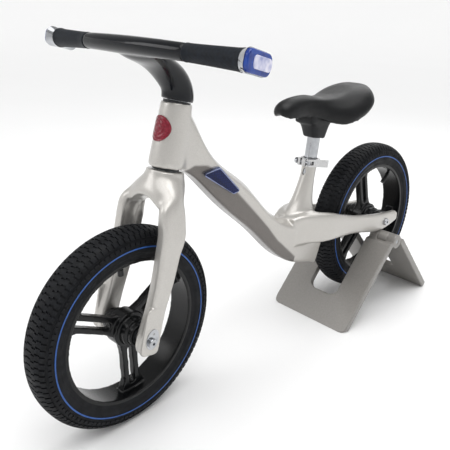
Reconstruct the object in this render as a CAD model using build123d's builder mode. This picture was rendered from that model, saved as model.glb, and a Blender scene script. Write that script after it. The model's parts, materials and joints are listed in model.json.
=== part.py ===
"""Child's 12-inch balance bike with a cast magnesium frame, standing on its folding parking stand.

Frame of the model: +X forward, +Y to the rider's left, +Z up, millimetres. The origin is on the
floor, in the bike's centre plane, in the middle of the stand's front foot. The bars are stored
turned a few degrees to the left, as a parked bike stands.
"""

from build123d import *
from math import copysign, cos, radians, sin, tan
import os

os.makedirs("parts", exist_ok=True)

# ---------------------------------------------------------------- driving sizes, millimetres
tyre_radius = 152.0
wheelbase = 594.0
rear_lift = 28.0  # height of the rear tyre over the floor while the bike is parked
rear_axle_x = -157.0
head_angle = 76.5
fork_offset = 26.0  # front axle ahead of the steering axis
steer_turn = 4.3  # stored turn of the bars, to the left
sides = (("left", 1), ("right", -1))

# fits
running_gap = 0.05  # radial clearance of a turning fit
slide_gap = 0.1  # radial clearance of a sliding or bolted fit
face_gap = 0.3  # clearance between faces of pieces that move past each other

# wheels
rim_inner_radius = 106.0
rim_wall = 4.0
rim_half_width = 21.0
flange_height = 5.0
flange_wall = 2.5
tyre_half_width = 25.4
tyre_wall = 4.0
tube_center_radius = 127.5  # inner tube's middle line
tube_radius = 15.0
tube_wall = 1.4
hub_radius = 27.0
hub_step_radius = 21.0
hub_half_length = 33.0
spoke_width = 8.5
spoke_thickness = 12.0
spoke_gap = 9.0
front_spoke_angle = 27.0
rear_spoke_angle = 75.0
axle_radius = 5.0
bearing_radius = 13.0
bearing_width = 8.0
valve_radius = 3.0
valve_tip_radius = 86.0

# dropouts, front and rear
dropout_inner = 37.0
fork_leg_outer = 56.0
stay_outer = 53.0
axle_bolt_radius = 7.0
axle_bolt_head = 4.5
axle_thread_radius = 2.5
axle_thread_depth = 14.0
plate_thickness = 2.0
plate_radius = 11.0

# steering, heights measured along the steering axis from the foot of the front axle
head_bottom = 232.0
head_length = 94.0
head_bottom_radius = 26.5
head_top_radius = 22.0
crown_gap = 1.2  # open line between the crown and the head tube
steerer_radius = 14.3
steerer_wall = 2.0
steerer_bottom = 206.0
headset_radius = 19.0
headset_height = 7.0
arch_height = 194.0
stem_gap = 0.8
stem_socket = 18.0  # steerer's length inside the stem
stem_screw_radius = 2.0
stem_screw_seat = 18.5
bar_height = 381.0
bar_reach = 90.0
bar_end_radius = 8.5
grip_inner = 93.0
grip_outer = 173.0
grip_inner_radius = 10.4
grip_outer_radius = 12.3
band_outer = 183.0
band_start_radius = 13.3
cap_outer = 188.0
bar_end = 176.0
bar_bend = 60.0  # where the bar starts to sweep back
bar_sweep = 6.0
cap_length = 47.0  # bar-end light, front to back
cap_height = 25.0
cap_corner = 9.0
cap_back = 6.0  # its middle lies this far behind the grip's axis
band_rim = 1.0
bar_lens_length = 34.5
bar_lens_height = 14.5
bar_lens_corner = 5.0
bar_lens_back = 10.2
bar_core_margin = 2.0
bar_lens_proud = 1.6
light_travel = 1.0

# frame
down_tube_width = 48.0
tyre_clearance = 9.0
seat_lean = 8.0
seat_tube_radius = 13.4
seat_post_radius = 11.1
seat_post_wall = 1.6
clamp_x = 36.4
clamp_z = 328.5
seat_tube_over_clamp = 5.0
seat_bore_depth = 125.0
seat_post_below = 95.0
socket_height = 42.0
socket_top = 400.7  # socket's lower face above the clamp, along the post
socket_grip = 26.0
clamp_height = 13.0
clamp_wall = 3.2
clamp_split = 4.0
clamp_bolt_radius = 2.5
clamp_ear = 9.0
lever_radius = 5.0
badge_radius = 17.5
badge_thickness = 1.2

light_x = 269.0  # centre of the lit windows on the down tube
light_z = 340.5
light_angle = 42.3
light_length = 78.0
light_width = 26.0
light_bezel = 2.2
light_depth = 4.0
light_proud = 0.8

# saddle, x of each station with half width, height of the crown and height of the edge
saddle_pad_bottom = 9.0  # hollow of the pad's underside
saddle_base_wall = 3.0
saddle_stations = (
    (129.0, 7.0, 431.0, 421.0),
    (123.0, 14.0, 439.0, 417.0),
    (97.0, 20.0, 446.0, 415.0),
    (68.0, 23.0, 446.0, 415.0),
    (43.0, 30.0, 442.0, 408.0),
    (18.0, 43.0, 440.0, 399.0),
    (-7.0, 55.0, 442.0, 396.0),
    (-32.0, 61.0, 447.0, 405.0),
    (-54.0, 60.0, 452.0, 417.0),
    (-72.0, 49.0, 456.0, 431.0),
    (-84.0, 27.0, 457.0, 443.0),
)

# stand
stand_center_x = -149.0
stand_half_span = 159.0
stand_lean = 48.0
stand_thickness = 13.0
stand_half_width = 90.0
stand_leg = 57.0
stand_bridge = 62.0
stand_corner = 14.0
stand_window_corner = 18.0
stand_pin_z = 149.0
stand_pin_radius = 4.0
stand_knuckle_radius = 14.2
stand_knuckle = 18.0  # length of each outer knuckle along the pin

# ---------------------------------------------------------------- planes and shared helpers
rear_axle_z = tyre_radius + rear_lift
lean = radians(head_angle)
straight = Plane(
    origin=(
        rear_axle_x + wheelbase - fork_offset * sin(lean),
        0,
        tyre_radius - fork_offset * cos(lean),
    ),
    x_dir=(sin(lean), 0, cos(lean)),
    z_dir=(-cos(lean), 0, sin(lean)),
)
seat = Plane(
    origin=(clamp_x, 0, clamp_z),
    x_dir=(cos(radians(seat_lean)), 0, sin(radians(seat_lean))),
    z_dir=(-sin(radians(seat_lean)), 0, cos(radians(seat_lean))),
)
head_top = head_bottom + head_length
crown_top = head_bottom - crown_gap
steerer_top = head_top + stem_gap + stem_socket


def placed(base, local):
    """The plane that lies in base's frame as local lies in the model's frame."""
    return Plane(base.location * local.location)


turn = radians(steer_turn)
steer = placed(straight, Plane(origin=(0, 0, 0), x_dir=(cos(turn), sin(turn), 0), z_dir=(0, 0, 1)))


def across(x, z, angle, y=0.0):
    """Plane across a limb at (x, y, z) that runs forward and up, at an angle above +X."""
    tilt = radians(angle)
    return Plane(origin=(x, y, z), x_dir=(0, 1, 0), z_dir=(cos(tilt), 0, sin(tilt)))


def side_plane(y=0.0):
    """Plane parallel to the bike's centre plane: sketch X is forward, sketch Y is up."""
    return Plane(origin=(0, y, 0), x_dir=(1, 0, 0), z_dir=(0, -1, 0))


def level(height, x=0.0, y=0.0):
    """Plane square to a frame's Z at a height, centred on (x, y)."""
    return Plane(origin=(x, y, height), x_dir=(1, 0, 0), z_dir=(0, 0, 1))


rear_hub = placed(level(rear_axle_z, rear_axle_x), side_plane())
front_hub = placed(
    steer,
    Plane(origin=(fork_offset, 0, 0), x_dir=(sin(lean), 0, -cos(lean)), z_dir=(0, -1, 0)),
)


def save(piece, name):
    """Label a finished piece and write it as its own STEP file."""
    piece.part.label = name
    export_step(piece.part, f"parts/{name}.step")


def oval(where, width, depth):
    """Elliptical section, width across the sketch's X and depth along its Y."""
    with BuildSketch(where) as section:
        Ellipse(width / 2, depth / 2)
    return section.sketch


def casting_section(where, width, depth, sole=0.6, back=0.3, crest=0.3, soften=0.1):
    """Six-sided casting section: flat sole, a crest line at the widest point and a narrow back."""
    half = width / 2
    with BuildSketch(where) as section:
        with BuildLine():
            Polyline(
                (-half * sole, -depth / 2),
                (half * sole, -depth / 2),
                (half, depth * crest),
                (half * back, depth / 2),
                (-half * back, depth / 2),
                (-half, depth * crest),
                close=True,
            )
        make_face()
        fillet(section.vertices(), soften * min(width, depth))
    return section.sketch


def pad_section(where, width, depth, corner=0.3):
    """Rounded rectangle, width across the sketch's X and depth along its Y."""
    with BuildSketch(where) as section:
        RectangleRounded(width, depth, corner * min(width, depth))
    return section.sketch


# ---------------------------------------------------------------- wheels
def wheel_profile(hub):
    """Sketch plane that holds a wheel's half section: sketch X is the radius, Y is across."""
    return placed(hub, Plane.XZ)


def spoke_outline():
    """Outline of one pair of spokes along the sketch's X, wide at the rim and at the hub."""
    reach = rim_inner_radius + rim_wall / 2
    half = spoke_gap / 2 + spoke_width
    with BuildSketch() as outline:
        with BuildLine():
            Polyline(
                (hub_radius * 0.7, half + 3),
                (hub_radius + 12, half),
                (reach * 0.8, half),
                (reach, half + 10),
                (reach, -half - 10),
                (reach * 0.8, -half),
                (hub_radius + 12, -half),
                (hub_radius * 0.7, -half - 3),
                close=True,
            )
        make_face()
    return outline.sketch


def make_rim(hub, spoke_angle):
    """Cast rim, hub and three pairs of spokes in one piece."""
    bead_radius = rim_inner_radius + rim_wall
    flange_radius = bead_radius + flange_height
    inside = rim_half_width - flange_wall
    spin = Axis(hub.origin, hub.z_dir)
    with BuildPart() as rim:
        with BuildSketch(wheel_profile(hub)):
            with BuildLine():
                Polyline(
                    (rim_inner_radius, -rim_half_width),
                    (flange_radius, -rim_half_width),
                    (flange_radius, -inside),
                    (bead_radius, -inside),
                    (bead_radius, inside),
                    (flange_radius, inside),
                    (flange_radius, rim_half_width),
                    (rim_inner_radius, rim_half_width),
                    close=True,
                )
            make_face()
        revolve(axis=spin)
        for radius, half in ((hub_radius, 12.0), (hub_step_radius, 24.0), (17.0, hub_half_length)):
            with BuildSketch(hub.offset(-half)):
                Circle(radius)
            extrude(amount=2 * half)
        with BuildSketch(hub.offset(-spoke_thickness / 2)):
            with PolarLocations(0, 3, start_angle=spoke_angle):
                add(spoke_outline())
        extrude(amount=spoke_thickness)
        slot_start = hub_radius + 5
        slot_end = rim_inner_radius - 9
        with BuildSketch(hub.offset(-spoke_thickness)):
            with PolarLocations((slot_start + slot_end) / 2, 3, start_angle=spoke_angle):
                SlotOverall(slot_end - slot_start, spoke_gap)
        extrude(amount=2 * spoke_thickness, mode=Mode.SUBTRACT)
        with BuildSketch(hub.offset(-hub_half_length)):
            Circle(bearing_radius - 2)
        extrude(amount=2 * hub_half_length, mode=Mode.SUBTRACT)
        for end in (-1, 1):
            with BuildSketch(hub.offset(end * hub_half_length)):
                Circle(bearing_radius)
            extrude(amount=-end * bearing_width, mode=Mode.SUBTRACT)
        with BuildSketch(placed(hub, valve_plane(spoke_angle)).offset(rim_inner_radius - 5)):
            Circle(valve_radius + slide_gap)
        extrude(amount=rim_wall + 10, mode=Mode.SUBTRACT)
    return rim


def valve_plane(spoke_angle):
    """Plane at the hub's centre whose Z points out along the valve, midway between spokes."""
    turn = radians(spoke_angle + 60)
    return Plane(origin=(0, 0, 0), x_dir=(0, 0, 1), z_dir=(cos(turn), sin(turn), 0))


def make_tyre(hub):
    """Tyre carcass: beads inside the rim's flanges, round crown, hollow inside."""
    bead_radius = rim_inner_radius + rim_wall
    bead_half = rim_half_width - flange_wall - slide_gap
    outer_bead = bead_radius + slide_gap
    lip = bead_radius + flange_height + 0.5
    with BuildPart() as tyre:
        with BuildSketch(wheel_profile(hub)):
            with BuildLine():
                Polyline((outer_bead, bead_half - tyre_wall), (outer_bead, bead_half), (lip, bead_half))
                Spline(
                    (lip, bead_half),
                    (tyre_radius - 22, tyre_half_width),
                    (tyre_radius - 7, tyre_half_width - 5.5),
                    (tyre_radius, 0),
                    (tyre_radius - 7, -tyre_half_width + 5.5),
                    (tyre_radius - 22, -tyre_half_width),
                    (lip, -bead_half),
                )
                Polyline(
                    (lip, -bead_half),
                    (outer_bead, -bead_half),
                    (outer_bead, -bead_half + tyre_wall),
                    (lip, -bead_half + tyre_wall),
                )
                Spline(
                    (lip, -bead_half + tyre_wall),
                    (tyre_radius - 22, -tyre_half_width + tyre_wall),
                    (tyre_radius - 10, -tyre_half_width + 10),
                    (tyre_radius - 6, 0),
                    (tyre_radius - 10, tyre_half_width - 10),
                    (tyre_radius - 22, tyre_half_width - tyre_wall),
                    (lip, bead_half - tyre_wall),
                )
                Line((lip, bead_half - tyre_wall), (outer_bead, bead_half - tyre_wall))
            make_face()
        revolve(axis=Axis(hub.origin, hub.z_dir))
    return tyre


def make_inner_tube(hub, spoke_angle):
    """Air tube: a hollow ring with one hole, where the valve is bonded in."""
    with BuildPart() as tube:
        with BuildSketch(wheel_profile(hub)):
            with Locations((tube_center_radius, 0)):
                Circle(tube_radius)
                Circle(tube_radius - tube_wall, mode=Mode.SUBTRACT)
        revolve(axis=Axis(hub.origin, hub.z_dir))
        with BuildSketch(placed(hub, valve_plane(spoke_angle)).offset(tube_center_radius - tube_radius - 2)):
            Circle(valve_radius + slide_gap / 2)
        extrude(amount=tube_wall + 4, mode=Mode.SUBTRACT)
    return tube


def make_valve(hub, spoke_angle):
    """Rubber valve stem that stands through the rim, from the tube towards the hub."""
    where = placed(hub, valve_plane(spoke_angle))
    root = tube_center_radius - tube_radius + tube_wall
    with BuildPart() as valve:
        with BuildSketch(where.offset(valve_tip_radius)):
            Circle(valve_radius)
        extrude(amount=root - valve_tip_radius)
        with BuildSketch(where.offset(valve_tip_radius - 2)):
            Circle(axle_thread_radius / 2)
        extrude(amount=root - valve_tip_radius + 4, mode=Mode.SUBTRACT)
    return valve


def make_valve_cap(hub, spoke_angle):
    """Cap on the valve's end."""
    where = placed(hub, valve_plane(spoke_angle))
    with BuildPart() as cap:
        with BuildSketch(where.offset(valve_tip_radius - 2)):
            Circle(valve_radius + 1.4)
        extrude(amount=9)
        with BuildSketch(where.offset(valve_tip_radius)):
            Circle(valve_radius + running_gap)
        extrude(amount=9, mode=Mode.SUBTRACT)
    return cap


def make_hub_bearings(hub):
    """Two cartridge bearings, one in each end of the hub."""
    with BuildPart() as bearings:
        for end in (-1, 1):
            with BuildSketch(hub.offset(end * hub_half_length)):
                Circle(bearing_radius - running_gap)
                Circle(axle_radius + running_gap, mode=Mode.SUBTRACT)
            extrude(amount=-end * bearing_width)
    return bearings


def make_hub_spacer(hub):
    """Tube that keeps the two bearings' inner rings apart."""
    half = hub_half_length - bearing_width - slide_gap
    with BuildPart() as spacer:
        with BuildSketch(hub.offset(-half)):
            Circle(axle_radius + 2.5)
            Circle(axle_radius + running_gap, mode=Mode.SUBTRACT)
        extrude(amount=2 * half)
    return spacer


def make_axle(hub, half_length):
    """Hollow-ended axle, tapped at both ends for its bolts."""
    with BuildPart() as axle:
        with BuildSketch(hub.offset(-half_length)):
            Circle(axle_radius)
        extrude(amount=2 * half_length)
        for end in (-1, 1):
            with BuildSketch(hub.offset(end * half_length)):
                Circle(axle_thread_radius)
            extrude(amount=-end * axle_thread_depth, mode=Mode.SUBTRACT)
    return axle


def make_axle_spacers(hub):
    """Two collars between the bearings and the dropouts."""
    with BuildPart() as collars:
        for end in (-1, 1):
            with BuildSketch(hub.offset(end * (hub_half_length + slide_gap))):
                Circle(axle_radius + 3)
                Circle(axle_radius + running_gap, mode=Mode.SUBTRACT)
            extrude(amount=end * (dropout_inner - hub_half_length - 2 * slide_gap))
    return collars


def make_axle_bolts(hub, seat_at, half_length):
    """Button-head socket bolts screwed into both ends of an axle."""
    with BuildPart() as bolts:
        for end in (-1, 1):
            with BuildSketch(hub.offset(end * seat_at)):
                Circle(axle_bolt_radius)
            extrude(amount=end * axle_bolt_head)
            with BuildSketch(hub.offset(end * seat_at)):
                Circle(axle_thread_radius)
            extrude(amount=-end * (seat_at - half_length + axle_thread_depth - 2))
            rounded = bolts.faces().sort_by(Axis(hub.origin, hub.z_dir * end))[-1].edges()
            fillet(rounded, axle_bolt_head * 0.4)
            with BuildSketch(hub.offset(end * (seat_at + axle_bolt_head))):
                RegularPolygon(axle_thread_radius, 6)
            extrude(amount=-end * axle_bolt_head * 0.7, mode=Mode.SUBTRACT)
    return bolts


def build_wheel(hub, name, spoke_angle):
    """All the pieces of one wheel that turn together."""
    save(make_rim(hub, spoke_angle), f"{name}_rim")
    save(make_tyre(hub), f"{name}_tyre")
    save(make_inner_tube(hub, spoke_angle), f"{name}_inner_tube")
    save(make_valve(hub, spoke_angle), f"{name}_valve")
    save(make_valve_cap(hub, spoke_angle), f"{name}_valve_cap")
    save(make_hub_bearings(hub), f"{name}_hub_bearings")
    save(make_hub_spacer(hub), f"{name}_hub_spacer")


# ---------------------------------------------------------------- frame
def make_frame():
    """One-piece magnesium casting: head tube, down tube, seat tube and two stays."""
    down_tube = (
        # x, z, angle, width, depth, sole
        (345.0, 424.0, 14.0, 38.0, 76.0, 0.8),
        (309.0, 384.0, 22.0, 40.0, 58.0, 0.7),
        (294.0, 365.0, 37.0, 44.0, 45.0, 0.6),
        (262.0, 334.0, 42.3, down_tube_width, 47.0, 0.6),
        (182.0, 261.5, 42.3, down_tube_width, 47.0, 0.6),
        (137.0, 222.5, 40.0, down_tube_width + 2, 54.0, 0.6),
        (98.0, 200.0, 28.0, down_tube_width + 6, 74.0, 0.6),
        (56.0, 184.0, 16.0, down_tube_width + 8, 84.0, 0.6),
        (12.0, 174.0, 8.0, down_tube_width + 6, 96.0, 0.6),
    )
    stay = (
        # x, y, z, angle, width, depth
        (95.0, 10.0, 210.0, 8.0, 30.0, 56.0),
        (50.0, 29.0, 214.0, 4.0, 28.0, 58.0),
        (10.0, stay_outer - 12, 210.0, -12.0, 24.0, 50.0),
        (-40.0, stay_outer - 9.5, 201.0, -17.0, 19.0, 38.0),
        (-100.0, stay_outer - 8.5, 188.0, -14.0, 17.0, 35.0),
        (rear_axle_x, stay_outer - 8.2, rear_axle_z, -6.0, 16.4, 33.0),
        (rear_axle_x - 45, stay_outer - 8.2, rear_axle_z + 2, 0.0, 15.0, 20.0),
    )
    seat_tube = (
        # distance below the clamp, centre ahead of the post, width, length
        (112.0, 8.0, 48.0, 60.0),
        (92.0, 7.0, 44.0, 70.0),
        (78.0, 6.0, 37.0, 54.0),
        (55.0, 3.5, 31.0, 38.0),
        (34.0, 1.2, 2 * seat_tube_radius + 1.0, 2 * seat_tube_radius + 3.0),
        (18.0, 0.0, 2 * seat_tube_radius, 2 * seat_tube_radius),
    )
    with BuildPart() as frame:
        loft(
            [
                casting_section(across(x, z, angle), width, depth, sole)
                for x, z, angle, width, depth, sole in down_tube
            ]
        )
        for _, side in sides:
            loft(
                [
                    pad_section(across(x, z, -angle, side * y), width, depth)
                    for x, y, z, angle, width, depth in stay
                ]
            )
        loft(
            [
                oval(placed(straight, level(head_bottom)), 2 * head_bottom_radius, 2 * head_bottom_radius),
                oval(placed(straight, level(head_top)), 2 * head_top_radius, 2 * head_top_radius),
            ]
        )
        loft(
            [
                oval(placed(seat, level(-down, ahead)), length, width)
                for down, ahead, width, length in seat_tube
            ]
        )
        with BuildSketch(placed(seat, level(-18))):
            Circle(seat_tube_radius)
        extrude(amount=18 + seat_tube_over_clamp)
        with BuildSketch(rear_hub.offset(-dropout_inner)):
            Circle(tyre_radius + tyre_clearance)
        extrude(amount=2 * dropout_inner, mode=Mode.SUBTRACT)
        for end in (-1, 1):
            with BuildSketch(rear_hub.offset(end * stay_outer)):
                Circle(axle_bolt_radius + 1.5)
            extrude(amount=end * 10, mode=Mode.SUBTRACT)
        with BuildSketch(placed(straight, level(head_bottom))):
            Circle(head_bottom_radius + 4.5)
        extrude(amount=-60, mode=Mode.SUBTRACT)
        with BuildSketch(placed(straight, level(head_bottom))):
            Circle(steerer_radius + 2)
        extrude(amount=head_length, mode=Mode.SUBTRACT)
        for height, way in ((head_bottom, 1), (head_top, -1)):
            with BuildSketch(placed(straight, level(height))):
                Circle(headset_radius)
            extrude(amount=way * headset_height, mode=Mode.SUBTRACT)
        with BuildSketch(placed(seat, level(seat_tube_over_clamp))):
            Circle(seat_post_radius + slide_gap)
        extrude(amount=-seat_bore_depth, mode=Mode.SUBTRACT)
        with BuildSketch(placed(seat, level(seat_tube_over_clamp, seat_tube_radius))):
            Rectangle(2 * seat_tube_radius, 2.5)
        extrude(amount=-30, mode=Mode.SUBTRACT)
        with BuildSketch(rear_hub.offset(-100)):
            Circle(axle_radius + slide_gap)
        extrude(amount=200, mode=Mode.SUBTRACT)
        for _, side in sides:
            add(window_block(side, 0, light_depth), mode=Mode.SUBTRACT)
        add(badge_blank(slide_gap, badge_thickness + 2 * slide_gap), mode=Mode.SUBTRACT)
    return frame


def head_cone(grow):
    """The head tube's outer cone, let out by an amount."""
    with BuildPart() as cone:
        loft(
            [
                oval(
                    placed(straight, level(height)),
                    2 * (radius + grow),
                    2 * (radius + grow),
                )
                for height, radius in ((head_bottom, head_bottom_radius), (head_top, head_top_radius))
            ]
        )
    return cone.part


def badge_blank(gap, thickness):
    """Round blank through the head tube's front wall, down to half the badge's thickness."""
    share = 0.58
    face = head_bottom_radius + (head_top_radius - head_bottom_radius) * share
    height = head_bottom + head_length * share
    where = placed(straight, Plane(origin=(face, 0, height), x_dir=(0, 1, 0), z_dir=(1, 0, 0)))
    with BuildPart() as blank:
        with BuildSketch(where.offset(-badge_radius / 2)):
            Circle(badge_radius + gap)
        extrude(amount=badge_radius)
        add(head_cone(-thickness / 2), mode=Mode.SUBTRACT)
    return blank.part


def make_badge():
    """Plain round badge that wraps the front of the head tube, half sunk into it."""
    with BuildPart() as badge:
        add(badge_blank(0, badge_thickness))
        add(head_cone(badge_thickness / 2), mode=Mode.INTERSECT)
    return badge


def light_plane(side):
    """Plane of a lit window on the down tube's flank: sketch X runs up the tube."""
    half = down_tube_width / 2
    tilt = radians(14.3)
    return placed(
        across(light_x, light_z, light_angle, side * (half - 1.2)),
        Plane(origin=(0, 0, 0), x_dir=(0, 0, 1), z_dir=(side * cos(tilt), -sin(tilt), 0)),
    )


def window_outline(side, inset):
    """Tapered window outline: broad end up the tube, slim end down it."""
    long = light_length / 2 - inset
    up = -side * (light_width / 2 - inset)
    with BuildSketch(light_plane(side)) as outline:
        with BuildLine():
            Polyline(
                (long, -up),
                (long * 0.6, up),
                (-long, up * 0.7),
                (-long * 0.85, -up * 0.15),
                close=True,
            )
        make_face()
        fillet(outline.vertices(), 3.4 - inset)
    return outline.sketch


def window_block(side, inset, deep):
    """Solid under the window's outline, from a little outside the flank to a depth inside it."""
    with BuildPart() as block:
        extrude(window_outline(side, inset), amount=-deep)
        extrude(window_outline(side, inset), amount=light_proud)
    return block.part


def make_light_bezel(side):
    """Pale rim of a down-tube window, with a floor behind the lens."""
    with BuildPart() as bezel:
        add(window_block(side, slide_gap, light_depth - slide_gap))
        add(window_block(side, light_bezel, light_depth - 1.5), mode=Mode.SUBTRACT)
    return bezel


def make_light_lens(side):
    """Dark blue lens that fills the bezel."""
    with BuildPart() as lens:
        add(window_block(side, light_bezel + slide_gap, light_depth - 1.5 - slide_gap))
    return lens


def make_headset(height, way):
    """One headset bearing: a ring in the head tube's end, just proud of it."""
    with BuildPart() as bearing:
        with BuildSketch(placed(straight, level(height + way * (headset_height - slide_gap)))):
            Circle(headset_radius - slide_gap)
            Circle(steerer_radius + running_gap, mode=Mode.SUBTRACT)
        extrude(amount=-way * headset_height)
    return bearing


# ---------------------------------------------------------------- fork and steering
def make_fork():
    """Cast fork: round crown, arched shoulders and two flat-sided legs with dropout housings."""
    crown = (
        # height, centre ahead of the axis, length, width
        (crown_top, 0.0, 2 * head_bottom_radius, 2 * head_bottom_radius),
        (222.0, 0.0, 56.0, 58.0),
        (210.0, 4.0, 57.0, 80.0),
        (196.0, 9.0, 52.0, 98.0),
        (182.0, 12.0, 46.0, 106.0),
    )
    leg = (
        # height, centre ahead of the axis, outer face, width, depth
        (205.0, 9.0, fork_leg_outer - 17.0, 12.0, 14.0),
        (196.0, 12.0, fork_leg_outer - 11.5, 15.0, 30.0),
        (186.0, 13.5, fork_leg_outer - 6.5, 17.0, 41.0),
        (174.0, 13.5, fork_leg_outer - 3.7, 18.0, 43.5),
        (158.0, 12.0, fork_leg_outer - 1.6, 18.4, 42.0),
        (129.0, 12.5, fork_leg_outer - 0.4, 18.8, 38.0),
        (92.0, 14.0, fork_leg_outer, 19.0, 33.0),
        (55.0, 17.5, fork_leg_outer, 19.0, 29.0),
        (26.0, 21.5, fork_leg_outer, 19.0, 29.0),
        (0.0, fork_offset - 1, fork_leg_outer, 19.0, 30.0),
        (-19.0, fork_offset, fork_leg_outer - 0.5, 17.0, 20.0),
    )
    arch_half = dropout_inner - 1
    with BuildPart() as fork:
        loft(
            [
                oval(placed(steer, level(height, ahead)), length, width)
                for height, ahead, length, width in crown
            ]
        )
        for _, side in sides:
            loft(
                [
                    pad_section(
                        placed(steer, level(height, ahead, side * (outer - width / 2))), depth, width
                    )
                    for height, ahead, outer, width, depth in leg
                ]
            )
        with BuildSketch(placed(steer, Plane(origin=(-100, 0, 0), x_dir=(0, 1, 0), z_dir=(1, 0, 0)))):
            with Locations((0, arch_height - arch_half)):
                Circle(arch_half)
            with Locations((0, (arch_height - arch_half) / 2 - 30)):
                Rectangle(2 * arch_half, arch_height - arch_half + 60)
        extrude(amount=200, mode=Mode.SUBTRACT)
        with BuildSketch(front_hub.offset(-dropout_inner)):
            Circle(60)
        extrude(amount=2 * dropout_inner, mode=Mode.SUBTRACT)
        for end in (-1, 1):
            with BuildSketch(front_hub.offset(end * fork_leg_outer)):
                Circle(plate_radius + 8)
            extrude(amount=end * 10, mode=Mode.SUBTRACT)
        with BuildSketch(placed(steer, level(crown_top))):
            Circle(steerer_radius + slide_gap)
        extrude(amount=steerer_bottom - slide_gap - crown_top, mode=Mode.SUBTRACT)
        with BuildSketch(front_hub.offset(-fork_leg_outer - 5)):
            Circle(axle_radius + slide_gap)
        extrude(amount=2 * fork_leg_outer + 10, mode=Mode.SUBTRACT)
    return fork


def make_steerer():
    """Steel steerer tube, pressed in the crown and clamped in the stem."""
    with BuildPart() as steerer:
        with BuildSketch(placed(steer, level(steerer_bottom))):
            Circle(steerer_radius)
            Circle(steerer_radius - steerer_wall, mode=Mode.SUBTRACT)
        extrude(amount=steerer_top - steerer_bottom - slide_gap)
    return steerer


def make_dropout_plates(hub, outer):
    """Oval chromed plates under the axle bolts, one on each leg's outer face."""
    with BuildPart() as plates:
        for end in (-1, 1):
            with BuildSketch(hub.offset(end * (outer + slide_gap))):
                with Locations((-2, 4)):
                    Ellipse(plate_radius, plate_radius + 4, rotation=15)
                Circle(axle_radius + slide_gap, mode=Mode.SUBTRACT)
                with Locations((-4, 12)):
                    Circle(1.6, mode=Mode.SUBTRACT)
            extrude(amount=end * plate_thickness)
    return plates


def make_handlebar():
    """One-piece bar and stem: a socket over the steerer that sweeps forward into a tapered bar."""
    stem = (
        # ahead, height, angle, width, depth
        (0.0, head_top + stem_gap, 90.0, 2 * head_top_radius, 2 * head_top_radius),
        (2.0, 338.0, 80.0, 43.0, 44.0),
        (13.0, 352.0, 48.0, 46.0, 38.0),
        (36.0, 365.0, 24.0, 56.0, 29.0),
        (62.0, 373.5, 16.0, 72.0, 24.0),
        (bar_reach - 2, bar_height - 0.5, 12.0, 92.0, 20.0),
    )
    bar = (
        # across, length, height
        (grip_inner - slide_gap, 2 * grip_inner_radius, 2 * grip_inner_radius),
        (62.0, 23.5, 21.5),
        (24.0, 29.0, 22.5),
    )
    stations = [(-a, l, h) for a, l, h in bar] + [(a, l, h) for a, l, h in reversed(bar)]
    with BuildPart() as handlebar:
        loft([oval(placed(steer, across(x, z, angle)), width, depth) for x, z, angle, width, depth in stem])
        loft([oval(bar_plane(out), length, height) for out, length, height in stations])
        for _, side in sides:
            with BuildSketch(bar_plane(side * (grip_inner - 4))):
                Circle(bar_end_radius)
            extrude(amount=side * (bar_end - grip_inner + 4))
        with BuildSketch(placed(steer, level(head_top + stem_gap))):
            Circle(steerer_radius + slide_gap)
        extrude(amount=stem_socket, mode=Mode.SUBTRACT)
        for height in (head_top + stem_gap + 6, head_top + stem_gap + 14):
            with BuildSketch(stem_screw_plane(height)):
                Circle(stem_screw_radius + slide_gap)
            extrude(amount=40, mode=Mode.SUBTRACT)
            with BuildSketch(stem_screw_plane(height).offset(stem_screw_seat)):
                Circle(stem_screw_radius * 2 + slide_gap)
            extrude(amount=30, mode=Mode.SUBTRACT)
    return handlebar


def stem_screw_plane(height):
    """Plane on the steering axis whose Z points back through a stem screw."""
    return placed(steer, Plane(origin=(0, 0, height), x_dir=(0, 1, 0), z_dir=(-1, 0, 0)))


def make_stem_screws():
    """Two socket screws that lock the stem on the steerer, from behind."""
    with BuildPart() as screws:
        for height in (head_top + stem_gap + 6, head_top + stem_gap + 14):
            with BuildSketch(stem_screw_plane(height).offset(steerer_radius + slide_gap)):
                Circle(stem_screw_radius)
            extrude(amount=stem_screw_seat - steerer_radius)
            with BuildSketch(stem_screw_plane(height).offset(stem_screw_seat + slide_gap)):
                Circle(stem_screw_radius * 2 - slide_gap)
                RegularPolygon(stem_screw_radius, 6, mode=Mode.SUBTRACT)
            extrude(amount=2.2)
            with BuildSketch(stem_screw_plane(height).offset(stem_screw_seat + slide_gap)):
                Circle(stem_screw_radius * 2 - slide_gap)
            extrude(amount=0.8)
    return screws


def bar_plane(out):
    """Plane across the handlebar at a distance to the left of its middle; its Z points left."""
    swept = max(0.0, abs(out) - bar_bend)
    yaw = 0.0 if swept == 0 else copysign(radians(bar_sweep), out)
    return placed(
        steer,
        Plane(
            origin=(bar_reach - swept * tan(radians(bar_sweep)), out, bar_height),
            x_dir=(cos(yaw), sin(yaw), 0),
            z_dir=(-sin(yaw), cos(yaw), 0),
        ),
    )


def bar_pad(out, grow):
    """Outline of a bar-end light, let out by an amount."""
    with BuildSketch(bar_plane(out)) as outline:
        with Locations((-cap_back, 0)):
            RectangleRounded(cap_length + 2 * grow, cap_height + 2 * grow, cap_corner + grow)
    return outline.sketch


def lens_pad(out, grow):
    """Outline of a bar-end lens, let out by an amount."""
    with BuildSketch(bar_plane(out)) as outline:
        with Locations((-bar_lens_back, 0)):
            RectangleRounded(bar_lens_length + 2 * grow, bar_lens_height + 2 * grow, bar_lens_corner + grow)
    return outline.sketch


def bar_bore(out):
    """Outline of the hole that fits over the bar's end."""
    with BuildSketch(bar_plane(out)) as outline:
        Circle(bar_end_radius + slide_gap)
    return outline.sketch


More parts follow.
